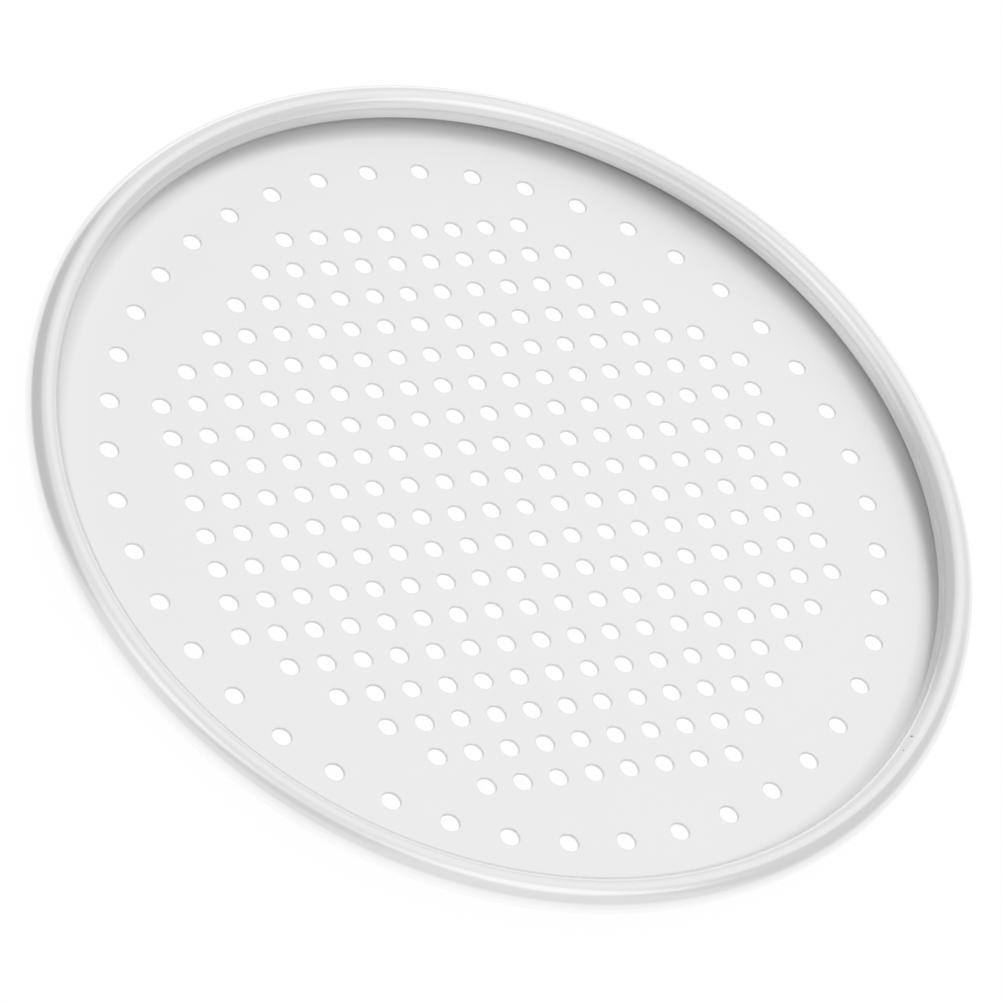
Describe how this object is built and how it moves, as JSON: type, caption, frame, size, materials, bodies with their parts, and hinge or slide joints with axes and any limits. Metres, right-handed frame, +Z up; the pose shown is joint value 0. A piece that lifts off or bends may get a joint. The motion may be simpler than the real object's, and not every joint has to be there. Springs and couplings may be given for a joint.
{
  "type": "perforated pizza pan",
  "caption": "Round shallow pizza pan of pressed satin metal sheet, its slightly dished floor perforated all over, its edge rolled into a thick round rim.",
  "frame": {"origin": "on the pan's axis, at the underside of the floor's flat middle, which is what it rests on", "axes": "+Z up out of the tray; +X and +Y run along the rows of the square grid of holes"},
  "size_m": [0.3264, 0.3264, 0.0176],
  "materials": {
    "pan_sheet": "satin, finely brushed",
    "wire": "galvanised, dull"
  },
  "bodies": {
    "root": {"pan_body": "pan_sheet", "rim_wire": "wire"}
  },
  "joints": []
}
